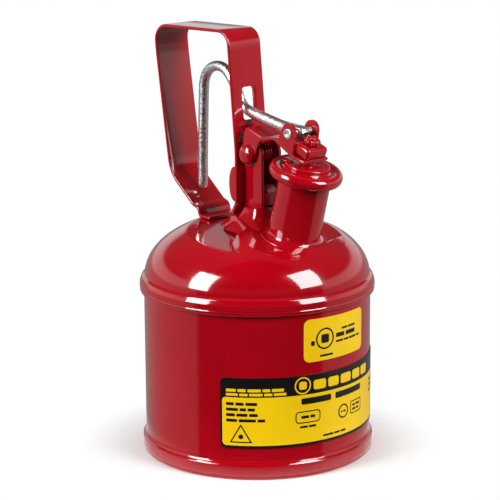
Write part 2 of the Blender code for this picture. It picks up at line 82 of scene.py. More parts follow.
# the labels: their radius, how far the film and two layers of print stand off it, half widths
LABEL_R = WALL_R + 0.3
LABEL_T = 0.12
PRINT_T = LABEL_T + 0.03
MARK_T = LABEL_T + 0.05
LABEL_HALF = math.radians(61.4) * LABEL_R
SMALL_HALF = math.radians(20.2) * LABEL_R
PRINT_STEPS = 60             # bends of a label's sheet over its whole width


# ---------------------------------------------------------------- small tools

def place(x, y, z):
    return Vector((AXIS + x * MM, y * MM, z * MM))


def spout_xyz(across, y, along):
    """A point in the leaning spout's own frame, in the can's millimetres."""
    x = LID_X + across * math.cos(TILT) + along * math.sin(TILT)
    z = LID_Z - across * math.sin(TILT) + along * math.cos(TILT)
    return x, y, z


def smoothstep(t):
    t = max(0.0, min(1.0, t))
    return t * t * (3.0 - 2.0 * t)


def soft_min(a, b, k):
    """The lower of two heights, with the crease between them rounded over k."""
    h = max(k - abs(a - b), 0.0) / k
    return min(a, b) - h * h * k / 4.0


def rounded(corners, steps):
    """A path through (x, z, radius) corners, each rounded by its own radius."""
    path = [tuple(corners[0][:2])]
    for before, here, after in zip(corners, corners[1:], corners[2:]):
        p0, p1, p2 = Vector(before[:2]), Vector(here[:2]), Vector(after[:2])
        a, b = (p0 - p1).normalized(), (p2 - p1).normalized()
        half = math.acos(max(-1.0, min(1.0, a.dot(b)))) / 2
        if here[2] <= 0 or half > 1.56:
            path.append(tuple(p1))
            continue
        reach = here[2] / math.tan(half)
        centre = p1 + (a + b).normalized() * (here[2] / math.sin(half))
        first, last = p1 + a * reach - centre, p1 + b * reach - centre
        turn = first.angle_signed(last)
        for i in range(steps + 1):
            path.append(tuple(centre + Matrix.Rotation(-turn * i / steps, 2) @ first))
    path.append(tuple(corners[-1][:2]))
    return path


def arc(cx, cz, radius, start, stop, steps=10):
    made = []
    for i in range(steps + 1):
        a = math.radians(start + (stop - start) * i / steps)
        made.append((cx + radius * math.cos(a), cz + radius * math.sin(a)))
    return made


def mesh_of(name, points, faces, weld=0.000001, sliver=0.0):
    """A mesh from points in millimetres, welded, with its faces turned outwards."""
    data = bpy.data.meshes.new(name)
    data.from_pydata([place(*p) for p in points], [], faces)
    work = bmesh.new()
    work.from_mesh(data)
    bmesh.ops.remove_doubles(work, verts=work.verts, dist=weld)
    if sliver:
        bmesh.ops.dissolve_degenerate(work, edges=work.edges, dist=sliver)
    bmesh.ops.recalc_face_normals(work, faces=work.faces)
    work.to_mesh(data)
    work.free()
    return data


def loose(name, data):
    item = bpy.data.objects.new(name, data)
    bpy.context.scene.collection.objects.link(item)
    return item


def baked(item):
    bpy.context.view_layer.update()
    graph = bpy.context.evaluated_depsgraph_get()
    return bpy.data.meshes.new_from_object(item.evaluated_get(graph))


def piece(name, data, look, body, nodes=(), sharp=42.0, normals=None):
    """A finished piece: smooth shaded, painted, and riding on its CAD body."""
    item = loose(name, data)
    data.materials.clear()
    data.materials.append(look)
    data.shade_smooth()
    if normals is None:
        data.set_sharp_from_angle(angle=math.radians(sharp))
    else:
        data.normals_split_custom_set_from_vertices(normals)
    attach(item, body)
    if nodes:
        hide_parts(*nodes)
    return item


def turned(name, profile, to_xyz=None, steps=96, closed=True):
    """A (radius, height) profile turned round an axis; to_xyz maps (across, side, along)."""
    to_xyz = to_xyz or (lambda a, b, s: (a, b, s))
    points, faces = [], []
    count = len(profile)
    for i in range(steps):
        a = 2 * math.pi * i / steps
        for r, s in profile:
            r = max(r, 0.0)
            points.append(to_xyz(r * math.cos(a), r * math.sin(a), s))
    last = count if closed else count - 1
    for i in range(steps):
        j = (i + 1) % steps
        for k in range(last):
            m = (k + 1) % count
            faces.append((i * count + k, j * count + k, j * count + m, i * count + m))
    return mesh_of(name, points, faces, 0.000002, 0.0000005)


def turned_piece(name, profile, look, body, nodes, slot, **shape):
    piece(name, turned(name, profile, **shape), look, body, nodes)


def swept(name, sections):
    """A closed skin over a list of same-length closed sections, with flat caps."""
    count = len(sections[0])
    points = [p for section in sections for p in section]
    faces = []
    for i in range(len(sections) - 1):
        for k in range(count):
            m = (k + 1) % count
            faces.append((i * count + k, i * count + m, (i + 1) * count + m,
                          (i + 1) * count + k))
    faces.append(tuple(range(count))[::-1])
    faces.append(tuple(range((len(sections) - 1) * count, len(sections) * count)))
    return mesh_of(name, points, faces)


def path_frames(path):
    """Each (x, z) point of a path with its unit tangent and its left-hand normal."""
    made = []
    for i, (x, z) in enumerate(path):
        before = Vector(path[max(0, i - 1)])
        after = Vector(path[min(len(path) - 1, i + 1)])
        t = (after - before).normalized()
        made.append((Vector((x, z)), t, Vector((-t.y, t.x))))
    return made


def box_outline(u0, v0, u1, v1, radius=0.0, steps=5):
    """The corners of a box, or its outline with rounded corners."""
    if radius <= 0:
        return [(u0, v0), (u1, v0), (u1, v1), (u0, v1)]
    made = []
    for cu, cv, start in ((u1 - radius, v1 - radius, 0), (u0 + radius, v1 - radius, 90),
                          (u0 + radius, v0 + radius, 180), (u1 - radius, v0 + radius, 270)):
        for i in range(steps + 1):
            a = math.radians(start + 90 * i / steps)
            made.append((cu + radius * math.cos(a), cv + radius * math.sin(a)))
    return made


def plate(name, outline, y_low, y_high):
    """A flat outline of (x, z) points given a thickness along Y."""
    count = len(outline)
    points = [(x, y_low, z) for x, z in outline] + [(x, y_high, z) for x, z in outline]
    faces = [tuple(range(count)), tuple(range(count, 2 * count))[::-1]]
    faces += [(i, (i + 1) % count, (i + 1) % count + count, i + count) for i in range(count)]
    return mesh_of(name, points, faces)


def combined(name, base, others, bevel=0.0, angle=35.0, segments=3):
    """One mesh from a base and others by exact Booleans, then its edges rounded.

    Each of the others is (mesh,) to join it or (mesh, "DIFFERENCE") to cut it away.
    """
    item = loose(name + "_work", base)
    helpers = []
    for k, other in enumerate(others):
        tool = loose(f"{name}_tool_{k}", other[0])
        helpers.append(tool)
        cut = item.modifiers.new(f"cut_{k}", "BOOLEAN")
        cut.operation = other[1] if len(other) > 1 else "UNION"
        cut.solver = "EXACT"
        cut.object = tool
    if bevel:
        weld = item.modifiers.new("weld", "WELD")
        weld.merge_threshold = 0.00002
        edge = item.modifiers.new("edges", "BEVEL")
        edge.width = bevel * MM
        edge.segments = segments
        edge.limit_method = "ANGLE"
        edge.angle_limit = math.radians(angle)
        edge.harden_normals = False
        edge.use_clamp_overlap = True
    made = baked(item)
    for old in [item] + helpers:
        bpy.data.objects.remove(old, do_unlink=True)
    return made


def tube(name, points, radius, sides):
    """A round bar along 3-D points in the can's millimetres."""
    path = [Vector(p) for p in points]
    sections = []
    normal = None
    for i, p in enumerate(path):
        t = (path[min(i + 1, len(path) - 1)] - path[max(i - 1, 0)]).normalized()
        if normal is None:
            guess = Vector((0, 1, 0)) if abs(t.y) < 0.9 else Vector((1, 0, 0))
            normal = (guess - t * guess.dot(t)).normalized()
        else:
            normal = (normal - t * normal.dot(t)).normalized()
        side = t.cross(normal)
        ring = []
        for k in range(sides):
            a = 2 * math.pi * k / sides
            ring.append(tuple(p + normal * (radius * math.cos(a))
                              + side * (radius * math.sin(a))))
        sections.append(ring)
    return swept(name, sections)


def spline(points, per):
    """A smooth Catmull-Rom line through points of any dimension."""
    pts = [Vector(p) for p in points]
    made = []
    for i in range(len(pts) - 1):
        p0 = pts[max(i - 1, 0)]
        p1, p2 = pts[i], pts[i + 1]
        p3 = pts[min(i + 2, len(pts) - 1)]
        for k in range(per):
            t = k / per
            made.append(0.5 * ((2 * p1) + (p2 - p0) * t + (2 * p0 - 5 * p1 + 4 * p2 - p3) * t * t
                               + (3 * p1 - p0 - 3 * p2 + p3) * t * t * t))
    made.append(pts[-1])
    return [tuple(p) for p in made]


# ---------------------------------------------------------------- materials

def vector_math(tree, kind, value, other=None):
    node = tree.nodes.new("ShaderNodeVectorMath")
    node.operation = kind
    tree.links.new(value, node.inputs[0])
    if other:
        node.inputs[1].default_value = other
    return node


def map_range(tree, value, low, high, to_low, to_high, kind="LINEAR"):
    """A node that maps low..high to to_low..to_high."""
    node = tree.nodes.new("ShaderNodeMapRange")
    node.interpolation_type = kind
    tree.links.new(value, node.inputs["Value"])
    for key, number in (("From Min", low), ("From Max", high), ("To Min", to_low),
                        ("To Max", to_high)):
        node.inputs[key].default_value = number
    return node.outputs["Result"]


class Look:
    """A procedural material, built node by node."""

    def __init__(self, name):
        self.made = bpy.data.materials.new(name)
        self.made.use_nodes = True
        self.tree = self.made.node_tree
        self.shader = self.tree.nodes["Principled BSDF"]
        self.place = self.tree.nodes.new("ShaderNodeTexCoord").outputs["Object"]

    def set(self, **values):
        for key, value in values.items():
            self.shader.inputs[key.replace("_", " ")].default_value = value

    def put(self, socket, value):
        """Gives a socket a number, or a link from another node's output."""
        if hasattr(value, "is_linked"):
            self.tree.links.new(value, socket)
        else:
            socket.default_value = value

    def node(self, kind, **inputs):
        node = self.tree.nodes.new(kind)
        for key, value in inputs.items():
            self.put(node.inputs[key], value)
        return node

    def noise(self, size, detail=2.0, rough=0.5):
        """Noise with features of about size millimetres."""
        made = self.node("ShaderNodeTexNoise", Vector=self.place, Scale=1.0 / (size * MM),
                         Detail=detail, Roughness=rough)
        return made.outputs["Fac"]

    def range(self, value, *limits):
        return map_range(self.tree, value, *limits)

    def mix(self, factor, a, b):
        """A colour between a and b."""
        node = self.tree.nodes.new("ShaderNodeMix")
        node.data_type = "RGBA"
        self.tree.links.new(factor, node.inputs["Factor"])
        for key, value in (("A", a), ("B", b)):
            socket = [s for s in node.inputs if s.name == key and s.type == "RGBA"][0]
            socket.default_value = (*value, 1.0)
        return [s for s in node.outputs if s.type == "RGBA"][0]

    def math(self, kind, a, b):
        node = self.tree.nodes.new("ShaderNodeMath")
        node.operation = kind
        self.put(node.inputs[0], a)
        self.put(node.inputs[1], b)
        return node.outputs[0]

    def feed(self, socket, value):
        self.tree.links.new(value, self.shader.inputs[socket])

    def bump(self, height, distance, strength=1.0, coat=False):
        node = self.node("ShaderNodeBump", Height=height, Distance=distance * MM,
                         Strength=strength)
        self.feed("Normal", node.outputs["Normal"])
        if coat:
            self.feed("Coat Normal", node.outputs["Normal"])


def enamel(name, peel=0.003, haze=0.0):
    """Deep red gloss powder coat: slight orange peel, and dust-fine colour change."""
    look = Look(name)
    look.set(Coat_Weight=1.0, Coat_Roughness=0.015 + haze, Coat_IOR=1.5,
             Specular_IOR_Level=0.4)
    cloud = look.noise(28.0, 3.0)
    colour = look.mix(look.range(cloud, 0.35, 0.65, 0.0, 1.0),
                      (0.355, 0.0008, 0.0062), (0.395, 0.0012, 0.0080))
    look.feed("Base Color", colour)
    rough = look.range(look.noise(9.0, 3.0), 0.3, 0.7, 0.09 + haze, 0.15 + haze)
    look.feed("Roughness", rough)
    swell = look.noise(3.4, 1.0, 0.4)
    fine = look.noise(0.9, 1.0, 0.4)
    height = look.math("ADD", swell, look.math("MULTIPLY", fine, 0.12))
    look.bump(height, peel, coat=True)
    return look.made


def zinc(name, grain):
    """Bright zinc plate over steel: mottled grain and uneven gloss."""
    look = Look(name)
    look.set(Metallic=1.0)
    mottle = look.noise(grain, 4.0, 0.7)
    colour = look.mix(look.range(mottle, 0.35, 0.65, 0.0, 1.0), (0.70, 0.71, 0.73),
                      (0.97, 0.975, 0.98))
    look.feed("Base Color", colour)
    rough = look.range(look.noise(grain * 2.4, 3.0, 0.6), 0.3, 0.7, 0.20, 0.48)
    look.feed("Roughness", rough)
    look.bump(mottle, 0.035, 0.7)
    return look.made


def film(name, colour, dark):
    """Printed vinyl: satin, with a very slight tooth and a little uneven ink."""
    look = Look(name)
    look.set(Roughness=0.32, Coat_Weight=0.25, Coat_Roughness=0.12)
    cloud = look.noise(14.0, 3.0)
    look.feed("Base Color", look.mix(look.range(cloud, 0.3, 0.7, 0.0, 1.0), dark, colour))
    look.bump(look.noise(0.6, 2.0), 0.004)
    return look.made


def rubber(name):
    look = Look(name)
    look.set(Roughness=0.62)
    grain = look.noise(0.5, 3.0)
    look.feed("Base Color", look.mix(look.range(grain, 0.3, 0.7, 0.0, 1.0),
                                     (0.012, 0.012, 0.013), (0.035, 0.034, 0.033)))
    look.bump(grain, 0.02)
    return look.made


def screen_cloth(name):
    """Woven wire: three sets of fine waves crossing, brassy grey."""
    look = Look(name)
    look.set(Metallic=1.0, Roughness=0.38)
    waves = []
    for axis in ("X", "Y", "Z"):
        wave = look.tree.nodes.new("ShaderNodeTexWave")
        wave.wave_type = "BANDS"
        wave.bands_direction = axis
        wave.inputs["Scale"].default_value = 1.0 / (0.9 * MM) / 3.2
        look.tree.links.new(look.place, wave.inputs["Vector"])
        waves.append(wave.outputs["Fac"])
    weave = look.math("MAXIMUM", look.math("MAXIMUM", waves[0], waves[1]), waves[2])
    look.feed("Base Color", look.mix(weave, (0.06, 0.055, 0.045), (0.62, 0.58, 0.48)))
    look.bump(weave, 0.15)
    return look.made


RED = enamel("red_enamel")
RED_THICK = enamel("red_enamel_fittings", peel=0.005)
STRAP_RED = enamel("red_enamel_strap", peel=0.003, haze=0.02)
ZINC_ROD = zinc("zinc_rod", 0.55)
ZINC_PIN = zinc("zinc_rivet", 0.35)
YELLOW = film("label_yellow", (0.98, 0.64, 0.0022), (0.93, 0.59, 0.002))
BLACK = film("label_black", (0.0065, 0.0055, 0.0045), (0.0045, 0.004, 0.0035))
RUBBER = rubber("seal_rubber")
SCREEN = screen_cloth("arrester_screen_wire")


# ---------------------------------------------------------------- the can

def dome_height(r):
    inside = max(0.0, 1.0 - (r / DOME_R) ** DOME_POWER)
    return DOME_Z + DOME_H * inside ** (1.0 / DOME_POWER)


# where the pressed rear flat ends, on one side: (x, |y|) from the strap's foot forwards
RIDGE_LINE = ((-18.1, 9.8), (6.8, 17.8), (10.9, 27.8), (20.7, 34.7), (36.0, 44.0))
FLANK = 3.4                  # the width of the ridge's side
RAMP_X, RAMP_Z, RAMP_SLOPE = -18.0, 119.1, 0.78      # the ramp up from the rear flat
CROWN_LIFT, CROWN_R, CROWN_FADE = 2.0, 14.0, 10.0    # how the middle stands over the dome
SEAT_FRONT, SEAT_SWEEP, SEAT_FADE = 43.9, 0.32, 1.6  # where the spout's seat runs out


def ridge_inside(x, y):
    """How far a point is inside the raised front, in plan; negative on the rear flat."""
    y = abs(y)
    here = Vector((x, y))
    nearest = 1e9
    for a, b in zip(RIDGE_LINE, RIDGE_LINE[1:]):
        a, b = Vector(a), Vector(b)
        along = max(0.0, min(1.0, (here - a).dot(b - a) / (b - a).length_squared))
        nearest = min(nearest, (here - a - (b - a) * along).length)
    if x <= RIDGE_LINE[0][0]:
        inside = y < RIDGE_LINE[0][1]
        return min(nearest, RIDGE_LINE[0][1] - y) if inside else -nearest
    for a, b in zip(RIDGE_LINE, RIDGE_LINE[1:]):
        if a[0] <= x <= b[0]:
            edge = a[1] + (b[1] - a[1]) * (x - a[0]) / (b[0] - a[0])
            return nearest if y < edge else -nearest
    return nearest


def pressed_height(x, y):
    """The top's outer height: a dome with a rear flat, a raised ridge and the spout's seat."""
    r = math.hypot(x, y)
    dome = dome_height(r)
    rear = soft_min(dome, FLAT_Z + FLAT_SLOPE * x, 0.5)
    seat = SEAT_Z - math.tan(TILT) * (x - spout_xyz(0.0, 0.0, SEAT_S)[0])
    lifted = dome + CROWN_LIFT * (1.0 - smoothstep((r - CROWN_R) / CROWN_FADE))
    ahead = smoothstep((x - (SEAT_FRONT - SEAT_SWEEP * abs(y))) / SEAT_FADE)
    front = soft_min(lifted, seat + max(0.0, lifted - seat) * ahead, 0.45)
    front = soft_min(front, RAMP_Z + (x - RAMP_X) * RAMP_SLOPE, 0.8)
    rise = smoothstep(ridge_inside(x, y) / FLANK)
    return rear + (max(front, rear) - rear) * rise


def make_dome():
    """The pressed top as rings of points, and the surface's own normals at them."""
    around, inner_rings, outer_rings = 288, 70, 14
    edge, rim = 52.0, 59.2
    reach, near = 0.15, 0.004              # half steps for the slopes
    radii = [edge * k / (inner_rings - 1) for k in range(1, inner_rings)]
    radii += [edge + (rim - edge) * math.sin(math.pi / 2 * k / outer_rings)
              for k in range(1, outer_rings + 1)]

    def surface(x, y):
        r = math.hypot(x, y)
        return pressed_height(x, y) if r < PRESSED_R else dome_height(r)

    def normal(r, a, x, y):
        if r < PRESSED_R:
            dx = (surface(x + reach, y) - surface(x - reach, y)) / (2 * reach)
            dy = (surface(x, y + reach) - surface(x, y - reach)) / (2 * reach)
            return Vector((-dx, -dy, 1.0)).normalized()
        outer = min(r + near, DOME_R - 0.01)
        lean = (dome_height(r - near) - dome_height(outer)) / (2 * near)
        return Vector((lean * math.cos(a), lean * math.sin(a), 1.0)).normalized()

    points, normals = [], []
    spots = [(r, 2 * math.pi * i / around) for r in radii for i in range(around)]
    for r, a in [(0.0, 0.0)] + spots:
        x, y = r * math.cos(a), r * math.sin(a)
        points.append(place(x, y, surface(x, y)))
        normals.append(normal(r, a, x, y))
    faces = [(0, 1 + i, 1 + (i + 1) % around) for i in range(around)]
    for k in range(len(radii) - 1):
        low, high = 1 + k * around, 1 + (k + 1) * around
        for i in range(around):
            j = (i + 1) % around
            faces.append((low + i, high + i, high + j, low + j))
    data = bpy.data.meshes.new("dome_top_skin")
    data.from_pydata(points, [], faces)
    data.validate()
    return data, normals


def make_can():
    wall = rounded([(WALL_R, 88.0, 0), (WALL_R, 9.2, 6.0), (60.3, 8.0, 1.0), (59.0, 7.6, 0),
                    (58.7, 88.0, 0)], 6)
    turned_piece("can_wall", wall, RED, "can", ["body_shell"], "red_enamel", steps=256)
    chime = rounded([(59.2, 8.6, 0), (60.3, 8.4, 0.4), (61.1, 7.4, 0.8), (61.2, 3.1, 1.4),
                     (60.7, 1.6, 0.8), (60.9, 0.9, 0.4), (60.2, 0.0, 0.5), (58.7, 0.0, 0.5),
                     (58.0, 1.2, 0.8), (57.6, 4.0, 1.2), (55.5, 4.0, 3.0), (40.0, 3.3, 9.0),
                     (20.0, 3.1, 4.0), (0.0, 3.1, 0)], 6)
    top = rounded([(0.0, 4.4, 0), (55.0, 4.9, 2.0), (57.9, 5.2, 1.5), (58.5, 8.4, 0.4),
                   (59.2, 8.6, 0)], 4)
    turned_piece("bottom_chime", chime + top[:-1], RED, "can", ["bottom_pan"], "red_enamel",
                 steps=256, closed=False)
    data, normals = make_dome()
    piece("dome_top_skin", data, RED, "can", ["dome_top"], normals=normals)
    seam = rounded([(58.9, 94.6, 0), (59.4, SEAM_TOP, 0.35), (60.6, 93.5, 1.8),
                    (61.6, 91.0, 3.0), (SEAM_R, 88.5, 0.35), (61.35, 88.1, 0.35),
                    (61.65, 87.4, 0.5), (61.55, 86.0, 0.7), (60.6, SEAM_LOW, 0.5),
                    (59.8, SEAM_LOW, 0.3), (59.4, 86.2, 0), (58.2, 86.2, 0), (58.2, 94.0, 0)], 6)
    turned_piece("dome_seam", seam, RED, "can", (), "red_enamel", steps=256)


def make_foot():
    """The formed foot between the dome's ridge and the bracket."""
    sections = []
    # height, half length and half width
    levels = ((118.0, 17.0, 17.2), (120.5, 13.6, 15.0), (122.6, 11.4, 12.9),
              (124.6, 9.7, 11.3), (126.8, 8.3, 10.1), (128.8, 7.4, 9.2), (130.0, 6.9, 8.6),
              (FOOT_TOP_Z - 0.15, 6.5, 8.1), (FOOT_TOP_Z, 5.6, 7.2))
    count, middle, power = 64, 3.6, 0.55         # a power below 1 squares the rings' corners
    for z, half_x, half_y in spline(levels, 5):
        ring = []
        for i in range(count):
            a = 2 * math.pi * i / count
            cx = math.copysign(abs(math.cos(a)) ** power, math.cos(a))
            sy = math.copysign(abs(math.sin(a)) ** power, math.sin(a))
            ring.append((middle + half_x * cx, half_y * sy, z))
        sections.append(ring)
    piece("bracket_foot_skin", swept("bracket_foot_skin", sections), RED_THICK, "can",
          ["bracket_foot"])


# ---------------------------------------------------------------- the spout and the lid

def make_spout():
    profile = rounded([(12.6, LIP_S - 1.0, 0), (12.6, LIP_S, 0.4), (LIP_R - 0.2, LIP_S, 0.9),
                       (LIP_R, LIP_S - 2.2, 0.9), (SPOUT_R, LIP_S - 2.8, 0.9),
                       (SPOUT_R, SEAT_S + 0.35, 3.1), (17.2, SEAT_S + 0.25, 0.3),
                       (17.4, SEAT_S - 0.9, 0), (12.7, SEAT_S - 0.9, 0)], 9)
    turned_piece("spout_skin", profile, RED, "can", ["spout_tube", "spout_collar"],
                 "red_enamel", to_xyz=spout_xyz, steps=144)
    screen = [(12.1, -5.6), (12.1, -31.0), (0.0, -31.0), (0.0, -30.2), (11.4, -30.2),
              (11.4, -5.6)]
    turned_piece("arrester_cloth", screen, SCREEN, "can", ["arrester_screen"],
                 "screen_steel", to_xyz=spout_xyz)
    ring = rounded([(12.25, -4.9, 0), (12.25, -5.5, 0.2), (9.6, -5.5, 0.25), (9.6, -4.2, 0.3),
                    (12.25, -4.2, 0.3), (12.25, -4.9, 0)], 3)
    turned_piece("arrester_rim", ring, ZINC_PIN, "can", ["arrester_ring"], "screen_steel",
                 to_xyz=spout_xyz)


def make_lid():
    profile = rounded([(0.0, BOSS_S, 0), (BOSS_R, BOSS_S, 0.7), (BOSS_R + 0.15, 2.6, 0.25),
                       (13.2, 1.15, 1.2), (14.4, 1.9, 0)], 5)
    roll = [(RIM_R + RIM_ROLL[0] * x, RIM_S + RIM_ROLL[1] * s)
            for x, s in arc(0.0, 0.0, 1.0, 128.0, -128.0, 30)]
    inner = rounded([(14.95, -1.6, 0), (14.95, 0.5, 0.4), (10.6, 0.5, 1.0), (9.9, 3.5, 0.5),
                     (0.0, 3.5, 0)], 4)
    turned_piece("lid_dish", profile + roll + inner, RED_THICK, "lid", ["lid_cap"],
                 "red_enamel", to_xyz=spout_xyz, steps=160, closed=False)

    lobe_x, lobe_y, half_x, half_y, count = -6.4, -7.8, 3.2, 2.9, 30
    angles = [2 * math.pi * i / count for i in range(count)]
    rings = [[spout_xyz(lobe_x + half_x * math.cos(a), lobe_y + half_y * math.sin(a), s)
              for a in angles] for s in (4.6, 5.5)]
    lobe = combined("lid_lobe", swept("lid_lobe", rings), [], bevel=0.35)
    piece("lid_lobe", lobe, RED_THICK, "lid", ())

    gasket = rounded([(14.6, -0.4, 0), (14.6, 0.2, 0.2), (11.2, 0.2, 0.2), (11.2, -1.0, 0.4),
                      (14.6, -1.0, 0.4), (14.6, -0.4, 0)], 4)
    turned_piece("lid_gasket_ring", gasket, RUBBER, "lid", ["lid_gasket"], "seal_rubber",
                 to_xyz=spout_xyz)
    keeper = rounded([(0.0, 3.2, 0), (3.0, 3.2, 0.4), (3.0, -1.2, 0.8), (11.9, -1.3, 0.3),
                      (11.9, -2.3, 0.4), (4.0, -2.3, 1.0), (3.0, -3.0, 0.5), (0.0, -3.0, 0)], 4)
    turned_piece("gasket_plate", keeper, ZINC_PIN, "lid", ["gasket_retainer"], "zinc_plate",
                 to_xyz=spout_xyz, steps=72, closed=False)

    stud = [(0.0, 19.2)] + rounded([(0.9, 19.2, 0), (1.6, 18.7, 0.4), (1.6, 6.4, 0.5),
                                    (4.0, 6.1, 0.3), (4.0, 5.1, 0)], 4) + [(0.0, 5.1)]
    turned_piece("lid_stud_rod", stud, RED_THICK, "lid", ["lid_stud"], "red_enamel",
                 to_xyz=spout_xyz, steps=40, closed=False)

    base, top, turns, per, radius, wire = 7.75, 13.0, 3.5, 28, 2.6, 0.45
    line = []
    for i in range(int(turns * per) + 1):
        a = 2 * math.pi * i / per
        s = base + (top - base) * i / (turns * per)
        line.append(spout_xyz(radius * math.cos(a), radius * math.sin(a), s))
    piece("relief_coil", tube("relief_coil", line, wire, 10), ZINC_PIN, "lever",
          ["relief_spring"])


def make_saddle():
    """The folded block over the lid: a box with soft corners, open underneath."""
    low, high = PAD_S + 0.35, SADDLE_S + 0.2
    half_x, half_y, ahead, lean = 5.3, 7.2, 0.3, math.radians(6.5)
    shrink, drop = 0.78, 2.4                     # the hollow inside, and how far it is lower
    work = bmesh.new()
    bmesh.ops.create_cube(work, size=1.0)
    data = bpy.data.meshes.new("saddle")
    work.to_mesh(data)
    work.free()
    mid = (low + high) / 2
    for vertex in data.vertices:
        x, y, s = vertex.co
        x, s = x * 2 * half_x, s * (high - low)
        vertex.co = place(*spout_xyz(ahead + x * math.cos(lean) + s * math.sin(lean),
                                     y * 2 * half_y,
                                     mid + s * math.cos(lean) - x * math.sin(lean)))
    hollow = data.copy()
    middle = place(*spout_xyz(ahead, 0.0, mid))
    centre = place(*spout_xyz(ahead, 0.0, mid - drop))
    for vertex, source in zip(hollow.vertices, data.vertices):
        vertex.co = centre + (source.co - middle) * shrink
    soft = combined("saddle_soft", data, [], bevel=1.7, angle=60.0, segments=6)
    made = combined("lid_saddle_block", soft, [(hollow, "DIFFERENCE")])
    piece("lid_saddle_block", made, RED_THICK, "lever", ["lid_saddle"], 50.0)


def make_nut():
    lobes, count, knurl_depth = 10, 120, 0.30
    s0 = SADDLE_S + 0.5
    levels = ((1.9, s0), (3.5, s0), (4.0, s0 + 0.2), (4.2, s0 + 0.6), (4.2, s0 + 2.0),
              (4.0, s0 + 2.4), (3.5, s0 + 2.7), (2.8, s0 + 2.7), (2.3, s0 + 2.4),
              (1.75, s0 + 2.4), (1.75, s0 + 0.6))
    points, faces = [], []
    for base, s in levels:
        for i in range(count):
            a = 2 * math.pi * i / count
            knurl = knurl_depth * max(0.0, min(1.0, (base - 3.4) / 0.8)) * math.cos(lobes * a)
            r = base + knurl
            points.append(spout_xyz(r * math.cos(a), r * math.sin(a), s))
    rows = len(levels)
    for k in range(rows):
        m = (k + 1) % rows
        for i in range(count):
            j = (i + 1) % count
            faces.append((k * count + i, k * count + j, m * count + j, m * count + i))
    piece("lid_knurled_nut", mesh_of("lid_knurled_nut", points, faces), RED_THICK, "lid",
          ["lid_nut"], 55.0)


# ---------------------------------------------------------------- the arm and the bracket

def strip(name, line, half, thick, radius, side=-1.0):
    """A bent flat strip: line is one face in (x, z), and it is thick on the given side."""
    sections = []
    for p, _, n in path_frames(line):
        ring = []
        for y, d in box_outline(-half, 0.0, half, thick, radius, 4):
            q = p + n * (side * d)
            ring.append((q.x, y, q.y))
        sections.append(ring)
    return swept(name, sections)


def make_arm():
    pad_back = spout_xyz(-2.5, 0.0, PAD_S)
    pad_front = spout_xyz(4.9, 0.0, PAD_S)
    line = rounded([(1.2, 171.7, 0), (12.3, 167.5, 3.0), (22.0, 169.4, 4.0),
                    (pad_back[0], pad_back[2], 6.0), (pad_front[0], pad_front[2], 0)], 5)
    top = strip("arm_top", line, ARM_HALF - 0.05, SHEET, 0.5)
    hinge_ear = [(3.4, 170.1), (0.5, 170.0), (-0.9, 164.0)]
    hinge_ear += arc(*HINGE, EAR_R, 155.0, 350.0, 16)
    hinge_ear += [(9.2, 161.4), (10.4, 164.4), (12.6, 166.5), (19.5, 168.0), (12.3, 166.9)]
    trigger_ear = [(24.6, 167.6)] + arc(PIN[0] + 0.3, PIN[1] + 0.6, 4.7, 150.0, -15.0, 12)
    trigger_ear += [(35.6, 161.2)]
    ears = []
    for side in (-1, 1):
        low, high = sorted((side * ARM_HALF, side * (ARM_HALF - SHEET)))
        for name, shape in (("hinge", hinge_ear), ("trigger", trigger_ear)):
            ears.append((plate(f"{name}_ear_{side + 1}", shape, low, high),))
    holes = []
    for (x, z), r in ((HINGE, HINGE_HOLE_R), (PIN, PIN_HOLE_R)):
        holes.append((plate("hole", arc(x, z, r, 0, 345, 23), -12.0, 12.0), "DIFFERENCE"))
    bore = []
    for along in (4.0, 12.0):
        bore.append([spout_xyz(PAD_BORE_R * math.cos(2 * math.pi * i / 32),
                               PAD_BORE_R * math.sin(2 * math.pi * i / 32), along)
                     for i in range(32)])
    holes.append((swept("pad_bore", bore), "DIFFERENCE"))
    made = combined("lid_arm_sheet", top, ears + holes, bevel=0.38, angle=38.0)
    piece("lid_arm_sheet", made, RED_THICK, "lever", ["lid_arm"])


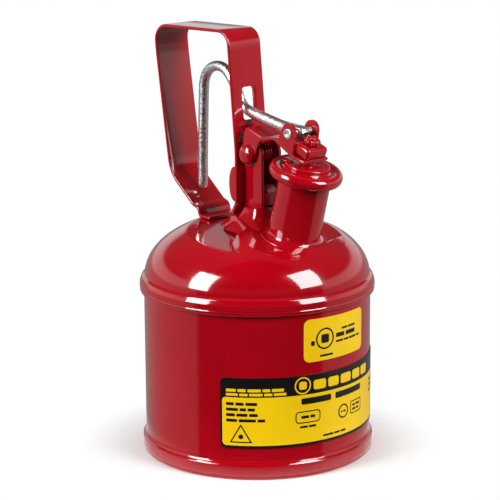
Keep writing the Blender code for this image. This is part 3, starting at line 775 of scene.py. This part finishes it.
def make_bracket():
    web = plate("web", [(WEB_X + 0.05, 130.7), (WEB_X + SHEET, 130.7), (WEB_X + SHEET, 152.6),
                        (WEB_X + 0.05, 152.6)], -FLANGE_HALF + 0.05, FLANGE_HALF - 0.05)
    flange = [(WEB_X, 130.6), (11.2, 130.6)]
    flange += arc(5.9, 158.4, 5.3, 0.0, 95.0, 12) + [(3.0, 163.6), (WEB_X, 163.4)]
    sides = []
    for side in (-1, 1):
        low, high = sorted((side * FLANGE_HALF, side * (FLANGE_HALF - SHEET)))
        sides.append((plate(f"flange_{side + 1}", flange, low, high),))
    hole = (plate("hole", arc(*HINGE, HINGE_HOLE_R, 0, 345, 23), -12.0, 12.0), "DIFFERENCE")
    made = combined("hinge_bracket_sheet", web, sides + [hole], bevel=0.45, angle=38.0)
    piece("hinge_bracket_sheet", made, RED_THICK, "can", ["hinge_bracket"])

    anchor = rounded([(7.6, 134.0, 0), (7.6, 131.2, 0.4), (10.6, 131.2, 0.6), (10.6, 138.0, 1.5),
                      (9.2, 142.0, 0.5), (8.1, 142.0, 0.4), (7.6, 137.0, 0.5)], 3)
    block = combined("spring_anchor_block", plate("anchor", anchor, -5.2, 5.2), [], bevel=0.3)
    piece("spring_anchor_block", block, RED_THICK, "can", ["spring_anchor"])

    back, thick = -STRAP_FRONT + 0.25, 1.15
    half = STRAP_HALF + 1.45
    top, wing_z, wing_rise, wing_reach = 151.4, 142.2, 9.2, 4.7
    base = plate("strap_plate", [(back, 132.0), (back + thick, 132.0), (back + thick, top),
                                 (back, top)], -half, half)
    wing = []
    for i in range(25):
        a = math.radians(-90 + 180 * i / 24)
        wing.append((back + 0.3 - wing_reach * max(0.0, math.cos(a)) ** 0.8,
                     wing_z + wing_rise * math.sin(a)))
    wing = [(back + thick - 0.05, 133.0)] + wing + [(back + thick - 0.05, top)]
    wings = []
    for side in (-1, 1):
        low, high = sorted((side * (STRAP_HALF + 0.25), side * (half + 0.02)))
        wings.append((plate(f"wing_{side + 1}", wing, low, high),))
    made = combined("strap_clamp_plate", base, wings, bevel=0.4, angle=38.0)
    piece("strap_clamp_plate", made, RED_THICK, "can", ["strap_saddle"])


def about_y(cx, cz):
    """Turns a profile about an axis along Y, its far end towards -Y."""
    return lambda a, b, s: (cx + a, -s, cz + b)


def make_pins():
    """The domed hinge rivet and the bright rivet through the trigger's eye."""
    face = ARM_HALF + 0.05
    head_r, edge, crown = 5.2, 0.5, 2.5
    head = []
    for i in range(13):
        a = math.pi / 2 * i / 12
        head.append((head_r * math.sin(a), face + edge + crown * math.cos(a)))
    profile = head + rounded([(head_r, face + edge, 0), (5.0, face, 0.3), (2.3, face, 0.1),
                              (2.3, -face, 0.1), (4.0, -face, 0.2), (3.7, -face - 1.3, 0.6),
                              (0.0, -face - 1.6, 0)], 4)
    turned_piece("hinge_rivet", profile, RED_THICK, "can", ["hinge_pin"], "red_enamel",
                 to_xyz=about_y(*HINGE), steps=64, closed=False)
    ends = []
    for sign in (1, -1):
        ends.append(rounded([(0.0, sign * (face + 0.2), 0), (0.9, sign * (face + 0.2), 0.3),
                             (1.4, sign * (face + 0.6), 0.5), (2.5, sign * (face + 0.55), 0.4),
                             (2.95, sign * (face + 0.05), 0.2), (1.9, sign * face, 0)], 4))
    profile = ends[0] + ends[1][::-1]
    turned_piece("trigger_rivet", profile, ZINC_PIN, "lever", ["trigger_pin"], "zinc_plate",
                 to_xyz=about_y(*PIN), steps=48, closed=False)


def make_spring():
    """The closing spring on the hinge rivet, wound close, with its two legs."""
    radius, wire, turns, per, half = 4.5, 0.7, 4.25, 36, 3.9
    start = math.radians(-60.0)
    steps = int(turns * per)
    loop = []
    for i in range(steps + 1):
        a = start + 2 * math.pi * turns * i / steps
        loop.append((HINGE[0] + radius * math.cos(a), -half + 2 * half * i / steps,
                     HINGE[1] + radius * math.sin(a)))
    first = spline([(7.8, -half, 143.1), (7.7, -half, 146.9), (6.9, -half, 151.4), loop[0]], 5)
    last = spline([loop[-1], (8.0, half, 162.0), (10.8, half, 163.7), (13.4, half, 164.5)], 5)
    line = first[:-1] + loop + last[1:]
    piece("closing_spring", tube("closing_spring", line, wire, 12), RED_THICK, "can",
          ["torsion_spring"])


# ---------------------------------------------------------------- the trigger and the handle

ROD_LINE = ((-42.2, 133.3), (-42.1, 142.0), (-42.0, 150.0), (-41.6, 161.0), (-41.2, 172.0),
            (-40.6, 186.0), (-39.9, 191.5), (-37.4, 196.2), (-33.0, 199.2), (-27.5, 199.9),
            (-22.6, 198.2), (-18.8, 194.6), (-15.6, 190.2), (-13.2, 186.4), (-11.4, 182.9),
            (-8.6, 180.1), (-3.5, 178.2), (4.1, 176.5), (11.6, 175.0), (19.5, 173.6),
            (25.0, 172.9))


def make_trigger():
    """A round bar whose front end is pressed flat and rounded over for its eye."""
    line = spline(ROD_LINE, 5)
    line += [(26.5, 172.75), (28.0, 172.6), (29.5, 172.5), (31.0, 172.4), (32.5, 172.35),
             (33.8, 172.15), (34.7, 171.8), (35.1, 171.3)]
    sections = []
    sides, last = 28, len(line) - 1
    tail, nose = (0.80, 0.94, 1.0), (0.6, 0.86, 0.97)    # how the two ends are rounded off
    for i, (p, _, n) in enumerate(path_frames(line)):
        flat = smoothstep((p.x - 20.0) / 8.0)
        half_y = ROD_R + 0.35 * flat
        half_n = ROD_R + 0.5 * smoothstep((p.x + 9.0) / 14.0)
        if i < len(tail):
            half_y, half_n = half_y * tail[i], half_n * tail[i]
        if last - i < len(nose):
            half_n *= nose[last - i]
        power = 1.0 - 0.45 * flat
        ring = []
        for k in range(sides):
            a = 2 * math.pi * k / sides
            c = math.copysign(abs(math.cos(a)) ** power, math.cos(a))
            s = math.copysign(abs(math.sin(a)) ** power, math.sin(a))
            q = p + n * (half_n * s)
            ring.append((q.x, half_y * c, q.y))
        sections.append(ring)
    bar = swept("trigger_bar", sections)
    hole = plate("eye", arc(*PIN, EYE_R, 0, 345, 23), -6.0, 6.0)
    made = combined("trigger_bar", bar, [(hole, "DIFFERENCE")])
    piece("trigger_bar", made, ZINC_ROD, "trigger", ["trigger_rod"], 50.0)


STRAP_LINE = ((-7.4, 124.2, 0.0), (-STRAP_FRONT - 0.1, 131.4, 4.0),
              (-STRAP_FRONT, 158.0, 60.0), (-9.2, 221.0, 8.5), (-68.4, 220.2, 9.0),
              (-66.6, 204.0, 60.0), (-56.9, 140.4, 20.0), (-38.5, 125.2, 6.0),
              (-34.4, 123.9, 2.6), (-33.7, 119.7, 2.0), (-25.0, 119.3, 0.0))


def make_strap():
    rough = rounded(STRAP_LINE, 10)
    pace = 2.5                   # straight stretches are cut into steps of about this length
    line = [rough[0]]
    for a, b in zip(rough, rough[1:]):
        gap = (Vector(b) - Vector(a)).length
        count = max(1, int(gap / pace))
        for k in range(1, count + 1):
            line.append(tuple(Vector(a).lerp(Vector(b), k / count)))
    strap = strip("handle_band", line, STRAP_HALF, STRAP_T, 0.62, 1.0)
    low, high = SLOT_Z
    slot = box_outline(-SLOT_HALF, low, SLOT_HALF, high, SLOT_R, 6)
    rings = [[(x, y, z) for y, z in slot] for x in (-14.0, 2.0)]
    made = combined("handle_band", strap, [(swept("slot_cut", rings), "DIFFERENCE")],
                    bevel=0.3, angle=60.0, segments=2)
    piece("handle_band", made, STRAP_RED, "can", ["handle_strap"])


# ---------------------------------------------------------------- the labels

def bend_round(u, v, depth):
    """A label's (arc length, height) point, depth proud of the can's label radius."""
    a = u / LABEL_R
    r = LABEL_R + depth
    return r * math.cos(a), r * math.sin(a), v


def disc_outline(cu, cv, radius, sides=40):
    return [(cu + radius * math.cos(2 * math.pi * i / sides),
             cv + radius * math.sin(2 * math.pi * i / sides)) for i in range(sides)]


def film_patches(name, patches, look, low, high, nodes=()):
    """Flat outlines laid round the wall as one thin raised print."""
    work = bmesh.new()
    for outline in patches:
        if isinstance(outline, dict):          # a ring: an outline and the hole in it
            outer, inner = outline["outer"], outline["inner"]
            count = len(outer)
            for depth in (low, high):
                a = [work.verts.new((u, v, depth)) for u, v in outer]
                b = [work.verts.new((u, v, depth)) for u, v in inner]
                for i in range(count):
                    j = (i + 1) % count
                    work.faces.new((a[i], a[j], b[j], b[i]))
                if depth == low:
                    first = (a, b)
                else:
                    for x, y in zip((a, b), first):
                        for i in range(count):
                            j = (i + 1) % count
                            work.faces.new((x[i], x[j], y[j], y[i]))
            continue
        count = len(outline)
        a = [work.verts.new((u, v, low)) for u, v in outline]
        b = [work.verts.new((u, v, high)) for u, v in outline]
        work.faces.new(a)
        work.faces.new(b)
        for i in range(count):
            j = (i + 1) % count
            work.faces.new((a[i], a[j], b[j], b[i]))
    edge = 66.0                  # past the ends of the wider label
    for i in range(1, PRINT_STEPS):
        u = -edge + 2 * edge * i / PRINT_STEPS
        geometry = work.verts[:] + work.edges[:] + work.faces[:]
        bmesh.ops.bisect_plane(work, geom=geometry, plane_co=(u, 0, 0), plane_no=(1, 0, 0),
                               dist=0.0001)
    bmesh.ops.recalc_face_normals(work, faces=work.faces)
    for vertex in work.verts:
        vertex.co = place(*bend_round(*vertex.co))
    data = bpy.data.meshes.new(name)
    work.to_mesh(data)
    work.free()
    piece(name, data, look, "can", nodes, 30.0)


def ring_outline(shape, cu, cv, k):
    """A ring between a shape and the same shape k times as large about (cu, cv)."""
    return {"outer": shape, "inner": [(cu + (u - cu) * k, cv + (v - cv) * k) for u, v in shape]}


def word_bars(u0, u1, v0, height, words, rng):
    """A line of plain bars of uneven length, in place of a line of print."""
    gap = height * 0.55
    weights = [rng.uniform(0.6, 1.5) for _ in range(words)]
    room = (u1 - u0) - gap * (words - 1)
    at, made = u0, []
    for weight in weights:
        width = room * weight / sum(weights)
        made.append(box_outline(at, v0, at + width, v0 + height, min(0.3, height * 0.2), 3))
        at += width + gap
    return made


def make_labels():
    rng = random.Random(7)
    base = [box_outline(-LABEL_HALF, 16.5, LABEL_HALF, 53.5, 2.6)]
    film_patches("main_label_black", base, BLACK, 0.0, LABEL_T, ["main_label"])
    field = [box_outline(1.0 - LABEL_HALF, 18.0, LABEL_HALF - 1.0, 43.4, 1.9)]
    film_patches("main_label_yellow", field, YELLOW, LABEL_T, PRINT_T)

    light = word_bars(-61.0, -31.6, 46.3, 1.55, 5, rng)
    light += word_bars(-61.0, -30.3, 44.2, 1.35, 5, rng)
    light.append(ring_outline(disc_outline(-21.5, 48.3, 4.5), -21.5, 48.3, 0.84))
    light.append(box_outline(-23.6, 46.2, -19.4, 50.4, 1.2))
    for u0, u1 in ((-15.5, -8.0), (-6.6, 0.6), (2.0, 10.2), (11.6, 19.0), (20.4, 28.0)):
        light.append(box_outline(u0, 45.4, u1, 50.4, 1.3))
    film_patches("main_label_light_print", light, YELLOW, LABEL_T, PRINT_T)

    triangle = [(-59.3, 19.5), (-47.7, 19.5), (-53.5, 29.5)]
    dark = [box_outline(-22.4, 38.3, -4.6, 41.6, 0.9), box_outline(-1.8, 38.3, 20.0, 41.6, 0.9),
            ring_outline(triangle, -53.5, 22.85, 0.80), disc_outline(-53.5, 22.7, 1.25, 24),
            {"outer": box_outline(-25.6, 28.4, -11.4, 34.8, 2.0),
             "inner": box_outline(-25.0, 29.0, -12.0, 34.2, 1.5)},
            ring_outline(disc_outline(4.2, 30.4, 3.8), 4.2, 30.4, 0.78),
            {"outer": box_outline(10.0, 27.0, 20.5, 34.0, 1.2),
             "inner": box_outline(10.6, 27.6, 19.9, 33.4, 0.8)}]
    for u0, u1, v0, height, words in (
            (-61.0, -45.2, 39.2, 1.55, 3), (-61.0, -46.3, 36.3, 1.55, 3),
            (-61.0, -44.9, 33.4, 1.55, 3), (-61.0, -41.2, 30.5, 1.55, 3),
            (-22.4, -14.6, 30.9, 1.5, 2), (-23.1, -14.1, 25.9, 1.2, 2), (2.4, 6.0, 29.8, 1.0, 2),
            (11.8, 18.8, 31.0, 1.2, 2), (11.8, 18.0, 28.8, 1.2, 2), (-9.7, 6.0, 19.6, 1.1, 3),
            (34.0, 52.0, 38.5, 1.5, 3), (34.0, 56.0, 35.6, 1.5, 3), (34.0, 50.0, 32.7, 1.5, 3)):
        dark += word_bars(u0, u1, v0, height, words, rng)
    film_patches("main_label_dark_print", dark, BLACK, PRINT_T, MARK_T)

    plain = [box_outline(-SMALL_HALF, 60.0, SMALL_HALF, 82.2, 3.2, 7)]
    film_patches("small_label_yellow", plain, YELLOW, 0.0, LABEL_T, ["small_label"])
    marks = [ring_outline(disc_outline(-8.6, 71.3, 5.6), -8.6, 71.3, 0.84),
             box_outline(-11.0, 69.0, -6.2, 73.6, 0.9),
             box_outline(-17.0, 68.4, -14.9, 70.9, 0.5)]
    for u0, u1, v0, height, words in (
            (2.6, 13.5, 74.2, 1.1, 2), (-1.4, 13.5, 70.6, 2.2, 2), (-1.4, 18.0, 67.9, 1.15, 4),
            (-11.8, -3.6, 62.0, 1.15, 1)):
        marks += word_bars(u0, u1, v0, height, words, rng)
    film_patches("small_label_dark_print", marks, BLACK, LABEL_T, PRINT_T)


# ---------------------------------------------------------------- the studio

CAMERA = (728.2, -679.1, 338.0)
CAMERA_SIDE = -43.0          # the camera's azimuth round the can, in degrees
LENS, PITCH, YAW, ROLL = 140.4, math.radians(13.134), math.radians(-0.209), math.radians(-0.33)
LIT_POINT = (0.0, 0.0, 0.1)  # the lights face the middle of the can
FLOOR_R, FLOOR_FADE = 0.2, (0.055, 0.10)


def softbox(name, azimuth, elevation, distance, width, height, radiance):
    """A rectangular light at an azimuth and elevation round the can, facing it."""
    a, e = math.radians(azimuth), math.radians(elevation)
    data = bpy.data.lights.new(name, "AREA")
    data.shape = "RECTANGLE"
    data.size, data.size_y = width, height
    data.energy = radiance * math.pi * width * height
    item = bpy.data.objects.new(name, data)
    bpy.context.scene.collection.objects.link(item)
    item.location = Vector(LIT_POINT) + distance * Vector(
        (math.cos(a) * math.cos(e), math.sin(a) * math.cos(e), math.sin(e)))
    way = Vector(LIT_POINT) - item.location
    item.rotation_euler = way.to_track_quat("-Z", "Y").to_euler()
    return item


def make_studio():
    scene = bpy.context.scene
    camera_data = bpy.data.cameras.new("camera")
    camera_data.lens = LENS
    camera_data.sensor_width = 36.0
    camera = bpy.data.objects.new("camera", camera_data)
    scene.collection.objects.link(camera)
    heading = math.pi + math.radians(CAMERA_SIDE) - YAW
    forward = Vector((math.cos(heading) * math.cos(PITCH), math.sin(heading) * math.cos(PITCH),
                      -math.sin(PITCH)))
    level = forward.cross(Vector((0, 0, 1))).normalized()
    up = level.cross(forward)
    right = level * math.cos(ROLL) + up * math.sin(ROLL)
    up = right.cross(forward)
    turn = Matrix((right, up, -forward)).transposed()
    camera.matrix_world = Matrix.Translation(place(*CAMERA)) @ turn.to_4x4()
    scene.camera = camera
    camera_data.clip_start, camera_data.clip_end = 0.05, 30.0

    softbox("softbox_left", -103.5, 25.5, 1.3, 0.52, 0.90, 13.6)
    softbox("softbox_right", 13.5, 31.5, 1.3, 0.58, 0.84, 12.0)
    above = softbox("overhead", 140.0, 70.0, 1.6, 1.3, 1.0, 1.2)
    above.visible_glossy = False

    # white to the camera; to the can, low walls dimmed overhead, underfoot and behind the camera
    world = bpy.data.worlds.new("studio")
    scene.world = world
    world.use_nodes = True
    tree = world.node_tree
    tree.nodes.clear()

    where = tree.nodes.new("ShaderNodeTexCoord").outputs["Generated"]
    split = tree.nodes.new("ShaderNodeSeparateXYZ")
    tree.links.new(where, split.inputs[0])
    flat = vector_math(tree, "MULTIPLY", where, (1.0, 1.0, 0.0))
    unit = vector_math(tree, "NORMALIZE", flat.outputs[0])
    toward = math.radians(CAMERA_SIDE + 3.0)
    face = vector_math(tree, "DOT_PRODUCT", unit.outputs[0],
                       (math.cos(toward), math.sin(toward), 0.0))

    def times(a, b):
        node = tree.nodes.new("ShaderNodeMath")
        node.operation = "MULTIPLY"
        tree.links.new(a, node.inputs[0])
        tree.links.new(b, node.inputs[1])
        return node.outputs[0]

    sweep = map_range(tree, face.outputs["Value"], 0.38, 0.44, 0.70, 0.05)
    high = map_range(tree, split.outputs["Z"], 0.30, 0.38, 1.0, 0.10)
    low = map_range(tree, split.outputs["Z"], 0.02, 0.10, 0.36, 1.0)
    glow = times(times(sweep, high), low)
    seen = tree.nodes.new("ShaderNodeLightPath").outputs["Is Camera Ray"]
    pick = tree.nodes.new("ShaderNodeMix")
    pick.data_type = "FLOAT"
    tree.links.new(seen, pick.inputs[0])
    tree.links.new(glow, pick.inputs[2])
    pick.inputs[3].default_value = 1.0
    back = tree.nodes.new("ShaderNodeBackground")
    tree.links.new(pick.outputs[0], back.inputs["Strength"])
    back.inputs["Color"].default_value = (1.0, 1.0, 1.0, 1.0)
    out = tree.nodes.new("ShaderNodeOutputWorld")
    tree.links.new(back.outputs[0], out.inputs[0])

    # a pale floor that fades out round the can
    work = bmesh.new()
    bmesh.ops.create_circle(work, cap_ends=True, segments=96, radius=FLOOR_R)
    data = bpy.data.meshes.new("floor")
    work.to_mesh(data)
    work.free()
    floor = loose("floor", data)
    floor.location = (AXIS, 0.0, -0.0001)
    look = bpy.data.materials.new("floor")
    look.use_nodes = True
    nodes, links = look.node_tree.nodes, look.node_tree.links
    shader = nodes["Principled BSDF"]
    shader.inputs["Base Color"].default_value = (0.86, 0.86, 0.86, 1.0)
    shader.inputs["Roughness"].default_value = 0.9
    spot = nodes.new("ShaderNodeTexCoord")
    length = vector_math(look.node_tree, "LENGTH", spot.outputs["Object"])
    fade = map_range(look.node_tree, length.outputs["Value"], *FLOOR_FADE, 1.0, 0.0,
                     "SMOOTHSTEP")
    links.new(fade, shader.inputs["Alpha"])
    data.materials.append(look)
    scene.view_settings.view_transform = "Standard"


make_can()
make_foot()
make_spout()
make_lid()
make_saddle()
make_nut()
make_arm()
make_bracket()
make_pins()
make_spring()
make_trigger()
make_strap()
make_labels()
make_studio()
